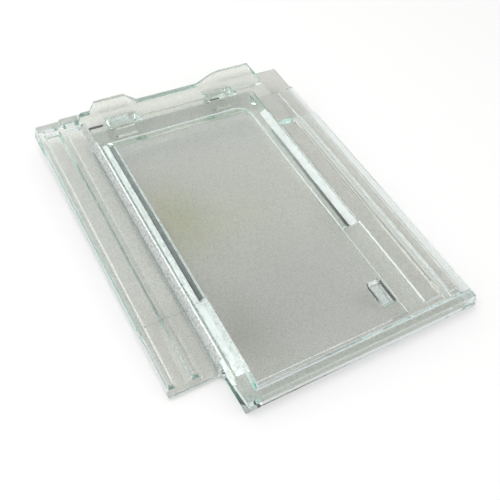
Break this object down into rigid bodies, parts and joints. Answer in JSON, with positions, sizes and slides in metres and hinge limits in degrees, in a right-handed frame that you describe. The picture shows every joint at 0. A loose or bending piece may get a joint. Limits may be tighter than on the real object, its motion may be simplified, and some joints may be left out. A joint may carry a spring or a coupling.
{
  "type": "interlocking glass roof tile",
  "caption": "Clear pressed-glass interlocking roof tile with upstanding side channels, hanging side channels, a ribbed underside and batten nibs; lets daylight through a tiled roof.",
  "frame": {"origin": "under the middle of the tile's box, on the plane of the nib tips", "axes": "+Y from the tail (down the roof) to the head (up the roof), +X to the right seen from outside the roof, +Z out of the weather face"},
  "size_m": [0.339, 0.4416, 0.035],
  "materials": {
    "clear_glass": "fire-polished pressed soda-lime glass, clear with a faint aqua edge"
  },
  "bodies": {
    "root": {"pressed_glass_tile": "clear_glass"}
  },
  "joints": []
}
